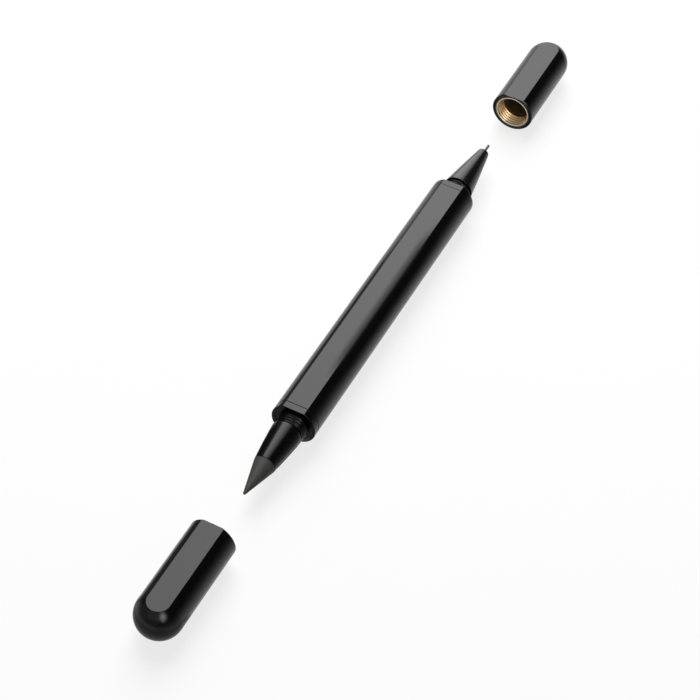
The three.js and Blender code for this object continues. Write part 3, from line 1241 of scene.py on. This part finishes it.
def softbox(name, direction, distance, size, radiance, across):
    """A square soft lamp that faces the pen. Reflections see a panel in its place."""
    right, up, towards = facing(direction, across)
    data = bpy.data.lights.new(name, "AREA")
    data.shape = "RECTANGLE"
    width, depth = size
    data.size = width
    data.size_y = depth
    data.energy = radiance * math.pi * width * depth
    lamp = bpy.data.objects.new(name, data)
    bpy.context.scene.collection.objects.link(lamp)
    lamp.matrix_world = stood(towards * distance, right, up, towards)
    lamp.visible_glossy = False


def panel(name, direction, distance, outline, across, glow, *fades):
    """What reflections see in a lamp's place, or a glowing card with no lamp behind it: an outline of points
    (across, up) that faces the pen.
    """
    right, up, towards = facing(direction, across)
    corners = [towards * distance + right * a + up * b for a, b in outline]
    card(name, corners, glow, *fades)


def wall(name, y, top, glow, *fades, ends=(-CARD_END, CARD_END)):
    """A card along the pen, standing on the floor."""
    low, high = ends
    corners = [(low, y, WALL_FOOT), (high, y, WALL_FOOT), (high, y, top), (low, y, top)]
    card(name, corners, glow, *fades)


def end_wall(name, x, glow, *fades):
    """A card across the pen, standing on the floor."""
    corners = [
        (x, -CARD_FAR, END_WALL_FOOT),
        (x, CARD_FAR, END_WALL_FOOT),
        (x, CARD_FAR, CARD_TOP),
        (x, -CARD_FAR, CARD_TOP),
    ]
    card(name, corners, glow, *fades)


def flat_card(name, along, across, height, glow, *fades):
    """A card that lies level over the pen or under it."""
    low, high = along
    near, far = across
    corners = [(low, near, height), (high, near, height), (high, far, height), (low, far, height)]
    card(name, corners, glow, *fades)


photograph_camera()
floor()
world()
softbox("key_softbox", KEY_DIRECTION, KEY_DISTANCE, KEY_SIZE, KEY_RADIANCE, (0, 1, 0))
panel(
    "key_panel", KEY_DIRECTION, KEY_DISTANCE,
    [(-0.75, 0.55), (-0.75, -0.20), (-0.36, -0.26), (-0.36, -0.80), (0.50, -0.80), (0.26, 0.55)],
    (0, 1, 0), 6.75,
    ("X", [(0.10, 0.74), (0.25, 0.80), (0.42, 0.87), (0.54, 0.95), (0.64, 1.0), (0.86, 0.60), (1.2, 0.35)]),
    ("Y", [(-0.46, 0.0), (-0.36, 0.13), (-0.15, 0.42), (0.04, 0.68), (0.14, 0.85), (0.22, 1.0)]),
)
# Painted highlight: this card glows with no lamp behind it, and only reflections see it. It makes the
# highlight on the pencil cap's dome and glints in the brass.
panel(
    "dome_panel", DOME_HIGHLIGHT_DIRECTION, KEY_DISTANCE,
    [(-DOME_HIGHLIGHT_HALF, -DOME_HIGHLIGHT_HALF), (DOME_HIGHLIGHT_HALF, -DOME_HIGHLIGHT_HALF), (DOME_HIGHLIGHT_HALF, DOME_HIGHLIGHT_HALF), (-DOME_HIGHLIGHT_HALF, DOME_HIGHLIGHT_HALF)],
    (1, 0, 0), 9.5,
    ("X", [(-0.76, 0.0), (-0.60, 0.7), (-0.49, 1.0), (-0.38, 0.7), (-0.22, 0.0)]),
    ("Y", [(-0.74, 0.0), (-0.61, 0.7), (-0.50, 1.0), (-0.39, 0.7), (-0.25, 0.0)]),
)
wall("front_card", -CARD_FAR, CARD_TOP, 0.03)
wall(
    "back_card", CARD_FAR, CARD_TOP, 2.0,
    ("X", [
        (-0.4, 0.22), (0.0, 0.05), (0.45, 0.05), (0.78, 0.18), (0.86, 0.25), (0.96, 0.30), (1.2, 0.50),
        (1.45, 0.85), (2.0, 1.0),
    ]),
)
end_wall("pen_end_card", CARD_END, 0.1)
end_wall("pencil_end_card", -CARD_END, 1.0, ("Z", [(0.0, 0.35), (0.9, 0.35), (1.3, 1.0)]))
flat_card(
    "top_card", (-CARD_END, CARD_END), (-CARD_FAR, CARD_FAR), CARD_TOP, 0.7,
    ("X", [(-0.8, 1.0), (-0.05, 0.0)]),
)

# Strips beside the pen and patches on the floor under it, which only reflections see. The strips in front and
# the patches are painted shade: they dim the floor near the pen, where its shadow lies, as the pen's
# reflections show it. The strips behind are dark cards.
wall(
    "front_strip", -0.016, 0.013, 1.0,
    ("Z", [(0.0, 1.0), (0.005, 0.62), (0.0085, 0.28), (0.012, 0.08)]), ends=(-0.2, 0.2),
)
# Painted shade as well, nearer the pencil cone.
wall(
    "cone_front_strip", -0.0095, 0.012, 1.0,
    ("Z", [(0.0, 0.6), (0.004, 0.5), (0.006, 0.29), (0.008, 0.15), (0.012, 0.06)]), ends=(-0.064, -0.043),
)
wall("back_strip", 0.055, 0.012, 0.0, ends=(-0.04, 0.055))
wall("cap_back_strip", 0.022, 0.010, 0.15, ends=(-0.10, -0.066))
wall("cone_back_strip", 0.010, 0.014, 0.03, ends=(-0.058, -0.0425))
# Painted shadow: dim patches on the floor under the pencil collar, the pen cap's mouth and the pencil cap's
# dome, for the pen's contact shadow in its reflections.
flat_card("collar_patch", (-0.0525, -0.0445), (-0.005, 0.010), SHADOW_PATCH_HEIGHT, 0.25)
flat_card("mouth_patch", (0.070, 0.0775), (-0.005, 0.010), SHADOW_PATCH_HEIGHT, 0.25)
flat_card("dome_patch", (-0.13, -0.096), (-0.02, 0.02), SHADOW_PATCH_HEIGHT, 0.5)

bpy.context.scene.view_settings.view_transform = "Standard"
